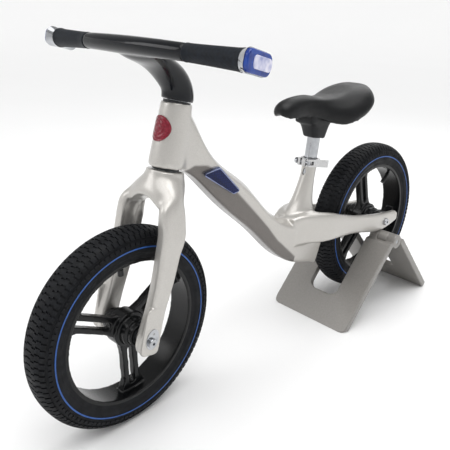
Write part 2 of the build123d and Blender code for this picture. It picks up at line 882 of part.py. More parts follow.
def make_grip(side):
    """Rubber grip, slimmer inboard."""
    with BuildPart() as grip:
        loft(
            [
                oval(bar_plane(side * grip_inner), 2 * grip_inner_radius, 2 * grip_inner_radius),
                oval(bar_plane(side * grip_outer), 2 * grip_outer_radius, 2 * grip_outer_radius),
            ]
        )
        extrude(
            bar_bore(side * (grip_inner - 1)),
            amount=side * (grip_outer - grip_inner + 2),
            mode=Mode.SUBTRACT,
        )
    return grip


def make_bar_band(side):
    """Chromed collar that spreads from the round grip to the long bar-end light."""
    pocket = bar_end + 1
    with BuildPart() as band:
        loft(
            [
                oval(bar_plane(side * grip_outer), 2 * band_start_radius, 2 * band_start_radius),
                bar_pad(side * band_outer, band_rim),
            ]
        )
        extrude(
            bar_bore(side * (grip_outer - 1)),
            amount=side * (bar_end - grip_outer + 1.1),
            mode=Mode.SUBTRACT,
        )
        extrude(lens_pad(side * pocket, -bar_core_margin + slide_gap), amount=side * 20, mode=Mode.SUBTRACT)
    return band


def make_bar_light_core(side):
    """Lamp and button cell, in the collar's pocket."""
    start = bar_end + 1 + slide_gap
    with BuildPart() as core:
        extrude(lens_pad(side * start, -bar_core_margin), amount=side * (band_outer - start - slide_gap))
    return core


def outer_edges(piece, side):
    """Edges of a bar-end piece's outermost face."""
    outward = Axis(bar_plane(side * grip_outer).origin, bar_plane(side * grip_outer).z_dir * side)
    return piece.faces().sort_by(outward)[
        -1
    ].edges()


def make_bar_light_cap(side):
    """Blue housing of a bar-end light, with a window for its lens."""
    with BuildPart() as cap:
        extrude(bar_pad(side * (band_outer + slide_gap), 0), amount=side * (cap_outer - band_outer))
        fillet(outer_edges(cap, side), 2.0)
        extrude(lens_pad(side * band_outer, slide_gap), amount=side * 20, mode=Mode.SUBTRACT)
    return cap


def make_bar_light_lens(side):
    """White lens that is pressed to switch the bar-end light."""
    back = band_outer + light_travel + 2 * slide_gap
    with BuildPart() as lens:
        extrude(lens_pad(side * back, 0), amount=side * (cap_outer + bar_lens_proud - back))
        fillet(outer_edges(lens, side), bar_lens_proud * 0.9)
    return lens


# ---------------------------------------------------------------- seat
def make_seat_clamp():
    """Split collar round the top of the seat tube, with two ears in front."""
    bore = seat_tube_radius + slide_gap
    ear_x = bore + clamp_wall
    with BuildPart() as clamp:
        with BuildSketch(placed(seat, level(-clamp_height / 2))):
            Circle(bore + clamp_wall)
            with Locations((ear_x + 2, 0)):
                RectangleRounded(14, 18, 3)
            Circle(bore, mode=Mode.SUBTRACT)
            with Locations((ear_x, 0)):
                Rectangle(2 * bore - 8, clamp_split, mode=Mode.SUBTRACT)
        extrude(amount=clamp_height)
        with BuildSketch(clamp_bolt_plane().offset(-20)):
            Circle(clamp_bolt_radius + slide_gap)
        extrude(amount=40, mode=Mode.SUBTRACT)
    return clamp


def clamp_bolt_plane():
    """Plane square to the clamp's bolt, in the bike's centre plane; its Z points left."""
    ahead = seat_tube_radius + clamp_wall + 4.5
    return placed(seat, Plane(origin=(ahead, 0, 0), x_dir=(1, 0, 0), z_dir=(0, 1, 0)))


def make_clamp_bolt():
    """Bolt through the clamp's ears, from the nut to the lever's pin."""
    with BuildPart() as bolt:
        with BuildSketch(clamp_bolt_plane().offset(-clamp_ear - 7)):
            Circle(clamp_bolt_radius)
        extrude(amount=2 * clamp_ear + 7 + lever_radius)
        with BuildSketch(lever_plane().offset(-3)):
            Circle(clamp_bolt_radius + 0.6)
        extrude(amount=6)
        with BuildSketch(lever_plane().offset(-clamp_height / 2)):
            Circle(1.5)
        extrude(amount=clamp_height)
    return bolt


def lever_plane():
    """Plane square to the lever's pin, which lies along the post."""
    ahead = seat_tube_radius + clamp_wall + 4.5
    return placed(seat, level(0, ahead, clamp_ear + lever_radius + face_gap))


def make_clamp_nut():
    """Domed nut on the bolt's far end."""
    with BuildPart() as nut:
        with BuildSketch(clamp_bolt_plane().offset(-clamp_ear - slide_gap)):
            Circle(5.6)
        extrude(amount=-6)
        fillet(nut.edges().sort_by(Axis(clamp_bolt_plane().origin, clamp_bolt_plane().z_dir * -1))[-1], 2)
        with BuildSketch(clamp_bolt_plane().offset(-clamp_ear - 8)):
            Circle(clamp_bolt_radius + slide_gap)
        extrude(amount=12, mode=Mode.SUBTRACT)
    return nut


def make_clamp_lever():
    """Quick-release lever: a cam on the pin and a handle that lies along the collar."""
    with BuildPart() as lever:
        with BuildSketch(lever_plane().offset(-clamp_height / 2)):
            Circle(lever_radius)
            with BuildLine():
                Polyline(
                    (0, lever_radius),
                    (0, 0),
                    (-14, 2.5),
                    (-36, 11),
                    (-37, 14.5),
                    (-16, 6.5),
                    close=True,
                )
            make_face()
        extrude(amount=clamp_height)
        with BuildSketch(lever_plane().offset(-3.4)):
            Circle(lever_radius + 4)
        slot = extrude(amount=6.8, mode=Mode.SUBTRACT)
        with BuildSketch(lever_plane().offset(-clamp_height)):
            Circle(1.5 + running_gap)
        extrude(amount=2 * clamp_height, mode=Mode.SUBTRACT)
    return lever


def make_seat_post():
    """Chromed steel post."""
    with BuildPart() as post:
        with BuildSketch(placed(seat, level(-seat_post_below))):
            Circle(seat_post_radius)
            Circle(seat_post_radius - seat_post_wall, mode=Mode.SUBTRACT)
        extrude(amount=seat_post_below + socket_height + socket_grip)
    return post


def saddle_section(x, half, crown, edge):
    """Arched section across the saddle, between its upper skin and its hollow underside."""
    hollow = edge + saddle_pad_bottom * min(1.0, half / 30)
    rise = crown - edge
    where = Plane(origin=(x, 0, 0), x_dir=(0, 1, 0), z_dir=(1, 0, 0))
    with BuildSketch(where) as section:
        with BuildLine():
            Spline(
                (-half, edge + 0.25 * rise),
                (-0.72 * half, edge + 0.83 * rise),
                (0, crown),
                (0.72 * half, edge + 0.83 * rise),
                (half, edge + 0.25 * rise),
            )
            Line((half, edge + 0.25 * rise), (0.93 * half, edge))
            Spline((0.93 * half, edge), (0, hollow), (-0.93 * half, edge))
            Line((-0.93 * half, edge), (-half, edge + 0.25 * rise))
        make_face()
    return section.sketch


def make_saddle_pad():
    """Padded saddle, from the nose to the raised tail."""
    with BuildPart() as pad:
        loft([saddle_section(x, half, crown, edge) for x, half, crown, edge in saddle_stations])
    return pad


def base_section(x, half, edge):
    """Section of the plastic base that carries the pad, just under its hollow."""
    hollow = edge + saddle_pad_bottom * min(1.0, half / 30) - 2 * face_gap
    inner = 0.8 * half
    where = Plane(origin=(x, 0, 0), x_dir=(0, 1, 0), z_dir=(1, 0, 0))
    low = edge + (hollow - edge) * 0.1
    with BuildSketch(where) as section:
        with BuildLine():
            Spline((-inner, low), (0, hollow), (inner, low))
            Line((inner, low), (inner, low - saddle_base_wall))
            Spline(
                (inner, low - saddle_base_wall),
                (0, hollow - saddle_base_wall),
                (-inner, low - saddle_base_wall),
            )
            Line((-inner, low - saddle_base_wall), (-inner, low))
        make_face()
    return section.sketch


def make_saddle_base(pad):
    """Moulded base plate under the pad."""
    with BuildPart() as base:
        loft([base_section(x, half, edge) for x, half, _, edge in saddle_stations[2:-2]])
        add(pad.part, mode=Mode.SUBTRACT)
    return base


def make_saddle_socket(base):
    """Plastic socket that grips the post and carries the saddle's base."""
    block = (
        # height over the clamp, centre ahead, length, width
        (socket_height, 0.0, 34.0, 32.0),
        (socket_height + 8, 1.0, 38.0, 34.0),
        (socket_height + 20, 3.0, 48.0, 36.0),
        (socket_height + 46, 5.0, 66.0, 38.0),
    )
    with BuildPart() as socket:
        loft(
            [
                pad_section(placed(seat, level(up, ahead)), length, width)
                for up, ahead, length, width in block
            ]
        )
        with BuildSketch(placed(seat, level(socket_height))):
            Circle(seat_post_radius + slide_gap)
        extrude(amount=socket_grip + slide_gap, mode=Mode.SUBTRACT)
        split(bisect_by=Plane.XY.offset(socket_top), keep=Keep.BOTTOM)
        add(base.part, mode=Mode.SUBTRACT)
    return socket


# ---------------------------------------------------------------- parking stand
def stand_plane(way):
    """Outer face of a stand plate: sketch X is across the bike, sketch Y climbs to the hinge."""
    tilt = radians(stand_lean)
    return Plane(
        origin=(stand_center_x + way * stand_half_span, 0, 0),
        x_dir=(0, way, 0),
        z_dir=(way * sin(tilt), 0, cos(tilt)),
    )


def hinge_plane(out):
    """Plane across the stand's hinge pin, at a distance to the left."""
    return Plane(origin=(stand_center_x, out, stand_pin_z), x_dir=(1, 0, 0), z_dir=(0, 1, 0))


def knuckle_spans(way):
    """Where the hinge knuckles of the front (1) or rear (-1) plate lie across the bike."""
    inner = stand_half_width - stand_leg
    middle = (inner + stand_knuckle, stand_half_width - stand_knuckle)
    spans = [(inner, middle[0]), (middle[1], stand_half_width)] if way == 1 else [middle]
    return spans + [(-high, -low) for low, high in spans]


def make_stand_plate(way):
    """U-shaped plate of the stand, with hinge knuckles on top of both legs."""
    slope = stand_half_span / cos(radians(stand_lean))
    window = stand_half_width - stand_leg
    with BuildPart() as plate:
        with BuildSketch(stand_plane(way)) as outline:
            with Locations((0, slope / 2)):
                RectangleRounded(2 * stand_half_width, slope, stand_corner)
            with Locations((0, stand_bridge + slope / 2)):
                RectangleRounded(2 * window, slope, stand_window_corner, mode=Mode.SUBTRACT)
            with Locations((0, slope)):
                Rectangle(2 * window, slope, mode=Mode.SUBTRACT)
        extrude(amount=-stand_thickness)
        split(bisect_by=Plane.XY, keep=Keep.TOP)
        split(bisect_by=Plane(origin=(stand_center_x, 0, 0), z_dir=(way, 0, 0)), keep=Keep.TOP)
        split(bisect_by=Plane.XY.offset(stand_pin_z), keep=Keep.BOTTOM)
        for low, high in knuckle_spans(-way):
            with BuildSketch(hinge_plane(low - face_gap)):
                Circle(stand_knuckle_radius + face_gap)
            extrude(amount=high - low + 2 * face_gap, mode=Mode.SUBTRACT)
        for low, high in knuckle_spans(way):
            with BuildSketch(hinge_plane(low)):
                Circle(stand_knuckle_radius)
            extrude(amount=high - low)
        with BuildSketch(hinge_plane(-stand_half_width - 5)):
            Circle(stand_pin_radius + running_gap)
        extrude(amount=2 * stand_half_width + 10, mode=Mode.SUBTRACT)
    return plate


def make_stand_pins():
    """Two hinge pins, one through each head of the stand."""
    inner = stand_half_width - stand_leg
    with BuildPart() as pins:
        for low in (inner + 1, -stand_half_width + 1):
            with BuildSketch(hinge_plane(low)):
                Circle(stand_pin_radius)
            extrude(amount=stand_leg - 2)
    return pins


# ---------------------------------------------------------------- build and write
def build_frame():
    """Frame and everything fixed to it."""
    save(make_frame(), "frame")
    save(make_badge(), "head_badge")
    for name, side in sides:
        save(make_light_bezel(side), f"frame_light_bezel_{name}")
        save(make_light_lens(side), f"frame_light_lens_{name}")
    save(make_headset(head_bottom, 1), "headset_lower_bearing")
    save(make_headset(head_top, -1), "headset_upper_bearing")
    save(make_axle(rear_hub, stay_outer), "rear_axle")
    save(make_axle_spacers(rear_hub), "rear_axle_spacers")
    save(make_axle_bolts(rear_hub, stay_outer + slide_gap, stay_outer), "rear_axle_bolts")
    save(make_seat_clamp(), "seat_clamp_collar")
    save(make_clamp_bolt(), "seat_clamp_bolt")
    save(make_clamp_nut(), "seat_clamp_nut")
    save(make_clamp_lever(), "seat_clamp_lever")


def build_steering():
    """Fork, bar and what turns with them."""
    save(make_fork(), "fork")
    save(make_steerer(), "steerer_tube")
    save(make_axle(front_hub, fork_leg_outer), "front_axle")
    save(make_axle_spacers(front_hub), "front_axle_spacers")
    save(make_dropout_plates(front_hub, fork_leg_outer), "fork_dropout_plates")
    plate_face = fork_leg_outer + plate_thickness + 2 * slide_gap
    save(make_axle_bolts(front_hub, plate_face, fork_leg_outer), "front_axle_bolts")
    save(make_handlebar(), "handlebar_stem")
    save(make_stem_screws(), "stem_screws")
    for name, side in sides:
        save(make_grip(side), f"grip_{name}")
        save(make_bar_band(side), f"bar_band_{name}")
        save(make_bar_light_cap(side), f"bar_light_cap_{name}")
        save(make_bar_light_core(side), f"bar_light_core_{name}")
        save(make_bar_light_lens(side), f"bar_light_lens_{name}")


def build_seat():
    """Post and saddle, which slide up and down together."""
    pad = make_saddle_pad()
    base = make_saddle_base(pad)
    save(make_seat_post(), "seat_post")
    save(make_saddle_socket(base), "saddle_socket")
    save(base, "saddle_base")
    save(pad, "saddle_pad")


def build_stand():
    """Folding A-frame stand under the rear dropouts."""
    save(make_stand_plate(1), "stand_front_plate")
    save(make_stand_plate(-1), "stand_rear_plate")
    save(make_stand_pins(), "stand_hinge_pins")


build_frame()
build_steering()
build_wheel(front_hub, "front", front_spoke_angle)
build_wheel(rear_hub, "rear", rear_spoke_angle)
build_seat()
build_stand()
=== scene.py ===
"""Balance bike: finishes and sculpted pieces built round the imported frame."""

import json
import math

import bmesh
import bpy
from bpy.props import FloatProperty, FloatVectorProperty, IntProperty, PointerProperty
from mathutils import Matrix, Vector


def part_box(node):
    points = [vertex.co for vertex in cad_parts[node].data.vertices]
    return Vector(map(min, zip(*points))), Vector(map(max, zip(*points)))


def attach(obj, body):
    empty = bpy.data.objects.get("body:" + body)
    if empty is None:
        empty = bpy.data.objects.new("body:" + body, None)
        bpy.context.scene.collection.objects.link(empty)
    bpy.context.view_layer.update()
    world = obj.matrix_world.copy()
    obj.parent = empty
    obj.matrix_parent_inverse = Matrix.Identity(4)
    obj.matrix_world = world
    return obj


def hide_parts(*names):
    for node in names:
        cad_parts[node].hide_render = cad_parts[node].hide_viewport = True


bl_info = {
    "name": "Balance Bike",
    "version": (1, 0, 0),
    "blender": (4, 5, 0),
    "location": "View3D > Sidebar > Balance Bike",
    "description": "Castings, tyres, grips, saddle and finishes of a child's balance bike",
    "category": "Object",
}

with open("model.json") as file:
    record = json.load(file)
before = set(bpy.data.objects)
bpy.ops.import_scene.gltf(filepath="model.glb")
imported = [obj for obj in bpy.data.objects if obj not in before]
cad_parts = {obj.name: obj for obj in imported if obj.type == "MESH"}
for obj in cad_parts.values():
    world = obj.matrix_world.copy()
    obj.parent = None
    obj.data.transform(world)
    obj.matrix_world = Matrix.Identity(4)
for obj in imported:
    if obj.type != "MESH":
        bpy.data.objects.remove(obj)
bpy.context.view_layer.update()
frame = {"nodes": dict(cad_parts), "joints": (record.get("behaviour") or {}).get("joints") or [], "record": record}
joints = {joint["name"]: joint for joint in frame["joints"]}
MM = 0.001
SIDES = (("left", 1), ("right", -1))

# How far the front axle stands ahead of the steering axis.
FORK_OFFSET = 26 * MM
# The bar's two bends, in the steering's frame: ahead, up, and out to each side.
BAR_REACH = 90 * MM
BAR_HEIGHT = 381 * MM
BAR_BEND = 60 * MM
# How far the bar's ends sweep back.
BAR_SWEEP = math.radians(6)

# Points closer than this are one: in a copy of a CAD node, and in a turned piece.
CAD_WELD = 0.005 * MM
TURNED_WELD = 0.01 * MM
# Share of the way that a smoothing pass moves each point, and the number of passes in a blend.
SMOOTHING = 0.5
BLEND_PASSES = 120
# Steps round a block's rounded corner.
CORNER_STEPS = 6


# ---------------------------------------------------------------- places
def wheel_place(joint):
    """Matrix from a wheel's own frame, axle along Y, to the bike's."""
    axle = Vector(joints[joint]["axis"])
    turn = Vector((0, 1, 0)).rotation_difference(axle).to_matrix().to_4x4()
    return Matrix.Translation(Vector(joints[joint]["pos_m"])) @ turn


def steering_place():
    """Matrix from the steering's frame, Z up the steering axis and Y left, to the bike's."""
    up = Vector(joints["steering_turn"]["axis"])
    left = Vector(joints["front_wheel_spin"]["axis"])
    ahead = left.cross(up)
    start = Vector(joints["front_wheel_spin"]["pos_m"]) - ahead * FORK_OFFSET
    turn = Matrix((ahead, left, up)).transposed().to_4x4()
    return Matrix.Translation(start) @ turn


def grip_place(side):
    """Matrix from a grip's frame, Z outward along the bar from its middle, to the bike's."""
    bend = Matrix.Translation((BAR_REACH, side * BAR_BEND, BAR_HEIGHT))
    sweep = Matrix.Rotation(side * BAR_SWEEP, 4, "Z")
    outward = Matrix.Rotation(-side * math.pi / 2, 4, "X")
    return steering_place() @ bend @ sweep @ outward @ Matrix.Translation((0, 0, -BAR_BEND))


# ---------------------------------------------------------------- mesh helpers
def new_piece(name, mesh_build, body, replaced):
    """Object made from a bmesh, which rides on a body and stands for CAD nodes."""
    mesh = bpy.data.meshes.new(name)
    mesh_build.to_mesh(mesh)
    mesh_build.free()
    piece = bpy.data.objects.new(name, mesh)
    bpy.context.scene.collection.objects.link(piece)
    shade_smooth(mesh)
    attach(piece, body)
    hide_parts(*replaced)
    return piece


def shade_smooth(mesh):
    """Shade every face of a mesh smoothly."""
    for face in mesh.polygons:
        face.use_smooth = True


def settle(piece):
    """Apply every modifier of a piece to its mesh."""
    graph = bpy.context.evaluated_depsgraph_get()
    graph.update()
    mesh = bpy.data.meshes.new_from_object(piece.evaluated_get(graph))
    piece.modifiers.clear()
    old = piece.data
    piece.data = mesh
    bpy.data.meshes.remove(old)


def merged_copy(*nodes):
    """A bmesh of CAD nodes with their loose triangles merged."""
    build = bmesh.new()
    for node in nodes:
        build.from_mesh(frame["nodes"][node].data)
    bmesh.ops.remove_doubles(build, verts=build.verts, dist=CAD_WELD)
    return build


def casting(node, name, body, slot, grain, passes, also=(), added=(), cut=(), blends=()):
    """A CAD node recast with rounded edges, as from a mould.

    Also holds the CAD nodes that are cast in one with it. Added and cut hold blocks, as
    (matrix, size, corner). Blends hold balls, as (centre, radius), in which the surfaces flow
    into each other.
    """
    build = merged_copy(node, *also)
    for block in added:
        add_block(build, *block)
    piece = new_piece(name, build, body, (node, *also))
    cutters = [cutter_from(block) for block in cut]
    for tool in cutters:
        hollow = piece.modifiers.new("Pocket", "BOOLEAN")
        hollow.operation = "DIFFERENCE"
        hollow.solver = "EXACT"
        hollow.object = tool
    remesh = piece.modifiers.new("Skin", "REMESH")
    remesh.mode = "VOXEL"
    remesh.voxel_size = grain
    remesh.use_smooth_shade = True
    settle(piece)
    for tool in cutters:
        bpy.data.objects.remove(tool)
    soften = piece.modifiers.new("Soften", "SMOOTH")
    soften.factor = SMOOTHING
    soften.iterations = passes
    if blends:
        group = piece.vertex_groups.new(name="blend")
        # A ball works fully in its inner half and fades to nothing at its edge.
        for vert in piece.data.vertices:
            near = max(1 - (vert.co - Vector(c)).length / r for c, r in blends)
            if near > 0:
                group.add([vert.index], min(1.0, near * 2), "REPLACE")
        flow = piece.modifiers.new("Flow", "SMOOTH")
        flow.factor = SMOOTHING
        flow.iterations = BLEND_PASSES
        flow.vertex_group = group.name
    settle(piece)
    return piece


def add_block(build, place, size, corner):
    """Add a block, rounded at the edges along its Y, to a bmesh; its matrix puts it in place."""
    corners = bmesh.ops.create_cube(build, size=1, matrix=Matrix.Diagonal((*size, 1)))["verts"]
    upright = [
        edge
        for edge in {e for vert in corners for e in vert.link_edges}
        if abs(edge.verts[0].co.y - edge.verts[1].co.y) > size[1] / 2
    ]
    rounded = bmesh.ops.bevel(
        build,
        geom=upright,
        offset=corner,
        segments=CORNER_STEPS,
        profile=0.5,
        affect="EDGES",
        material=-1,
    )
    whole = {vert for face in rounded["faces"] for vert in face.verts}
    bmesh.ops.transform(build, matrix=place, verts=list(whole))


def cutter_from(block):
    """Object that hollows out a leaf: a ball stretched to the block's size."""
    place, size, _ = block
    build = bmesh.new()
    stretched = place @ Matrix.Diagonal((*size, 1))
    bmesh.ops.create_uvsphere(build, u_segments=32, v_segments=24, radius=0.5, matrix=stretched)
    mesh = bpy.data.meshes.new("cutter")
    build.to_mesh(mesh)
    build.free()
    tool = bpy.data.objects.new("cutter", mesh)
    bpy.context.scene.collection.objects.link(tool)
    return tool


def steering_block(side, middle, size, corner=0.0):
    """Block in the steering's frame, on one side of the bike, from sizes in millimetres."""
    ahead, out, height = middle
    place = steering_place() @ Matrix.Translation(Vector((ahead, side * out, height)) * MM)
    return place, Vector(size) * MM, corner * MM


def spun(outline, steps, closed=False):
    """A bmesh made by turning an outline of (along, radius) pairs round Z."""
    build = bmesh.new()
    rim = [build.verts.new((radius, 0, along)) for along, radius in outline]
    edges = [build.edges.new(pair) for pair in zip(rim, rim[1:])]
    if closed:
        edges.append(build.edges.new((rim[-1], rim[0])))
    bmesh.ops.spin(
        build,
        geom=rim + edges,
        cent=(0, 0, 0),
        axis=(0, 0, 1),
        angle=math.tau,
        steps=steps,
        use_merge=True,
    )
    bmesh.ops.remove_doubles(build, verts=build.verts, dist=TURNED_WELD)
    bmesh.ops.recalc_face_normals(build, faces=build.faces)
    return build


# ---------------------------------------------------------------- material helpers
def linear(code):
    """Linear RGBA from an sRGB hex code."""
    parts = [int(code[i : i + 2], 16) / 255 for i in (1, 3, 5)]
    rgb = [p / 12.92 if p <= 0.04045 else ((p + 0.055) / 1.055) ** 2.4 for p in parts]
    return (*rgb, 1.0)


def add_node(tree, kind, settings=None, inputs=None, links=None):
    """Add a shader node with its settings, its fixed inputs and its incoming links."""
    node = tree.nodes.new(kind)
    for key, value in (settings or {}).items():
        setattr(node, key, value)
    for key, value in (inputs or {}).items():
        node.inputs[key].default_value = value
    for key, source in (links or {}).items():
        tree.links.new(source, node.inputs[key])
    return node


SOCKET_NAMES = {
    "metallic": "Metallic",
    "roughness": "Roughness",
    "ior": "IOR",
    "specular": "Specular IOR Level",
    "coat": "Coat Weight",
    "coat_roughness": "Coat Roughness",
}


def new_material(name, **sockets):
    """Material with a Principled shader, whose plain sockets are set.

    Returns the material, its node tree, its shader and its Object coordinates.
    """
    material = bpy.data.materials.new(name)
    material.use_nodes = True
    tree = material.node_tree
    shader = tree.nodes["Principled BSDF"]
    for key, value in sockets.items():
        shader.inputs[SOCKET_NAMES[key]].default_value = value
    place = add_node(tree, "ShaderNodeTexCoord").outputs["Object"]
    return material, tree, shader, place


# The part of a noise texture's range that nearly all of it lies in.
NOISE_RANGE = (0.3, 0.7)


def mottle(tree, shader, place, dark, light, size, detail=3.0):
    """Vary the colour between two codes with noise whose features are about a size in metres."""
    cloud = noise_height(tree, place, size, detail)
    tree.links.new(two_tone(tree, cloud, dark, light), shader.inputs["Base Color"])


def two_tone(tree, factor, dark, light):
    """Colour between two codes, by a factor from a noise texture."""
    ramp = add_node(tree, "ShaderNodeValToRGB", None, None, {"Fac": factor})
    for element, at, code in zip(ramp.color_ramp.elements, NOISE_RANGE, (dark, light)):
        element.position = at
        element.color = linear(code)
    return ramp.outputs["Color"]


def vary_roughness(tree, shader, place, low, high, size):
    """Vary the roughness between two values, as handling and polish leave it."""
    cloud = noise_height(tree, place, size, 4.0)
    spread = add_node(
        tree,
        "ShaderNodeMapRange",
        None,
        {
            "From Min": NOISE_RANGE[0],
            "From Max": NOISE_RANGE[1],
            "To Min": low,
            "To Max": high,
        },
        {"Value": cloud},
    )
    tree.links.new(spread.outputs["Result"], shader.inputs["Roughness"])


def emboss(tree, shader, height, depth, strength):
    """Raise the surface by a height from 0 to 1 over a depth in metres."""
    bump = add_node(
        tree, "ShaderNodeBump", None, {"Strength": strength, "Distance": depth}, {"Height": height}
    )
    tree.links.new(bump.outputs["Normal"], shader.inputs["Normal"])


def noise_height(tree, place, size, detail=2.0):
    """Noise heights whose features are about a size in metres."""
    return add_node(
        tree, "ShaderNodeTexNoise", None, {"Scale": 1 / size, "Detail": detail}, {"Vector": place}
    ).outputs["Fac"]


# A wave texture of scale 1 has its rings, and its diagonal bands, this far apart.
RING_PITCH = math.tau / 20
BAND_PITCH = math.tau / 10 / math.sqrt(3)


# ---------------------------------------------------------------- materials
def pearl_paint():
    """Pearl white stove enamel on cast magnesium: silvery body under a wet clear coat.

    Shade is painted on the flanks of the down tube as a darker grey, which makes them look sunken.
    """
    # Mica flakes are 0.05 mm across; they are drawn at 0.5 mm so that they show.
    material, tree, shader, place = new_material(
        "pearl enamel on cast magnesium", metallic=0.6, roughness=0.4, coat=0.7, coat_roughness=0.08
    )
    flakes = noise_height(tree, place, 0.5 * MM, 1.0)
    # Painted shade: where this mark on the frame is set, the silver gives way to a darker grey.
    painted_flank_shade = add_node(tree, "ShaderNodeAttribute", {"attribute_name": "painted_flank_shade"}).outputs["Fac"]
    silver = two_tone(tree, flakes, "#B3B0AB", "#CCC9C4")
    # The darker grey stands for shade on the down tube's flanks.
    painted_shade_grey = two_tone(tree, flakes, "#5A5551", "#716C68")
    # A colour mix has its factor at socket 0, its colours at 6 and 7, and its result at 2.
    blend = add_node(
        tree, "ShaderNodeMix", {"data_type": "RGBA"}, None, {0: painted_flank_shade, 6: silver, 7: painted_shade_grey}
    )
    tree.links.new(blend.outputs[2], shader.inputs["Base Color"])
    emboss(tree, shader, noise_height(tree, place, 0.8 * MM), 0.02 * MM, 0.4)
    return material


def black_lacquer():
    """Black gloss lacquer on a cast alloy bar: deep, sharp reflections with slight orange peel."""
    material, tree, shader, place = new_material(
        "black gloss lacquer on cast alloy", roughness=0.14, specular=0.3
    )
    mottle(tree, shader, place, "#07090D", "#0D1016", 6 * MM)
    emboss(tree, shader, noise_height(tree, place, 3 * MM), 0.03 * MM, 0.4)
    return material


def grip_rubber():
    """Injection-moulded soft rubber: matt, with slanting ridges and grain against slipping."""
    material, tree, shader, place = new_material(
        "moulded grip rubber", roughness=0.55, ior=1.5, specular=0.22
    )
    mottle(tree, shader, place, "#0B0F15", "#131922", 4 * MM)
    # Real ridges are 1.2 mm apart; they are drawn 2.74 mm apart so that they show.
    ridges = add_node(
        tree,
        "ShaderNodeTexWave",
        {"bands_direction": "DIAGONAL"},
        {"Scale": BAND_PITCH / (2.7425 * MM)},
        {"Vector": place},
    ).outputs["Fac"]
    grains = noise_height(tree, place, 0.4 * MM)
    both = add_node(tree, "ShaderNodeMath", {"operation": "ADD"}, None, {0: ridges, 1: grains})
    emboss(tree, shader, both.outputs[0], 0.12 * MM, 0.6)
    return material


def tyre_rubber():
    """Vulcanised carbon-black rubber: nearly matt, faintly greyed where the mould rubbed it."""
    material, tree, shader, place = new_material(
        "vulcanised tyre rubber", roughness=0.6, ior=1.5, specular=0.2
    )
    mottle(tree, shader, place, "#090A0D", "#121418", 9 * MM, 5.0)
    emboss(tree, shader, noise_height(tree, place, 0.7 * MM, 4.0), 0.1 * MM, 0.6)
    vary_roughness(tree, shader, place, 0.5, 0.72, 15 * MM)
    return material


def blue_line_rubber():
    """Blue pigmented rubber let into the tyre's wall: a little smoother than the black."""
    material, tree, shader, place = new_material("blue pigmented rubber", roughness=0.45, ior=1.5)
    mottle(tree, shader, place, "#174689", "#2259A6", 5 * MM)
    return material


def satin_rim_paint():
    """Satin black powder coat on cast magnesium: soft wide highlights and a faint grain."""
    material, tree, shader, place = new_material(
        "satin black powder coat", roughness=0.24, specular=0.3
    )
    mottle(tree, shader, place, "#060708", "#0C0D0F", 5 * MM)
    emboss(tree, shader, noise_height(tree, place, 0.9 * MM), 0.05 * MM, 0.6)
    return material


def chrome_plate():
    """Bright chrome plate over steel: mirror-like, with faint polishing haze."""
    material, tree, shader, place = new_material(
        "bright chrome plate", metallic=1.0, roughness=0.09
    )
    mottle(tree, shader, place, "#A6A8AC", "#C2C4C7", 12 * MM)
    vary_roughness(tree, shader, place, 0.05, 0.16, 10 * MM)
    return material


def polished_aluminium():
    """Turned and tumbled aluminium: bright, with a faint grain that lies flat."""
    material, tree, shader, place = new_material("tumbled aluminium", metallic=1.0, roughness=0.26)
    mottle(tree, shader, place, "#BDBDBE", "#D6D6D6", 3 * MM)
    stretch = add_node(tree, "ShaderNodeMapping", None, {"Scale": (1, 1, 12)}, {"Vector": place})
    emboss(tree, shader, noise_height(tree, stretch.outputs["Vector"], 2 * MM), 0.03 * MM, 0.5)
    return material


def zinc_steel():
    """Zinc-plated steel: grey, slightly clouded metal."""
    material, tree, shader, place = new_material("zinc-plated steel", metallic=1.0, roughness=0.34)
    mottle(tree, shader, place, "#8E9093", "#B4B6B9", 2.5 * MM)
    vary_roughness(tree, shader, place, 0.25, 0.42, 4 * MM)
    return material


def bearing_steel():
    """Black moulded rubber seal over a steel bearing: dark, with a steel sheen."""
    material, tree, shader, place = new_material("sealed bearing", metallic=0.3, roughness=0.35)
    mottle(tree, shader, place, "#1B1C1E", "#26282A", 2 * MM)
    return material


def saddle_vinyl():
    """Coated vinyl over foam: satin black with a fine leather grain pressed in."""
    material, tree, shader, place = new_material(
        "grained saddle vinyl", roughness=0.4, ior=1.5, specular=0.3
    )
    mottle(tree, shader, place, "#07080A", "#0E0F11", 12 * MM)
    # The pressed grain's cells are about 0.9 mm across.
    cells = add_node(
        tree,
        "ShaderNodeTexVoronoi",
        {"feature": "DISTANCE_TO_EDGE"},
        {"Scale": 1 / (0.9 * MM)},
        {"Vector": place},
    ).outputs["Distance"]
    # A cell rises over the outer quarter of its width and is flat inside.
    rise = add_node(tree, "ShaderNodeMapRange", None, {"From Max": 0.25}, {"Value": cells})
    emboss(tree, shader, rise.outputs["Result"], 0.08 * MM, 0.5)
    vary_roughness(tree, shader, place, 0.33, 0.44, 20 * MM)
    return material


def saddle_plastic():
    """Glass-filled nylon: black, matt, with a fine spark-eroded texture."""
    material, tree, shader, place = new_material(
        "spark-textured black nylon", roughness=0.5, ior=1.53, specular=0.25
    )
    mottle(tree, shader, place, "#121314", "#1B1C1E", 3 * MM)
    emboss(tree, shader, noise_height(tree, place, 0.5 * MM), 0.06 * MM, 0.6)
    return material


def stand_plastic():
    """Moulded grey ABS with metal powder in it: satin, and faintly clouded by its flow."""
    material, tree, shader, place = new_material(
        "metal-filled grey ABS",
        metallic=0.15,
        roughness=0.36,
        ior=1.53,
        coat=0.2,
        coat_roughness=0.3,
    )
    mottle(tree, shader, place, "#817E7A", "#898682", 3 * MM, 4.0)
    emboss(tree, shader, noise_height(tree, place, 0.6 * MM), 0.04 * MM, 0.5)
    return material


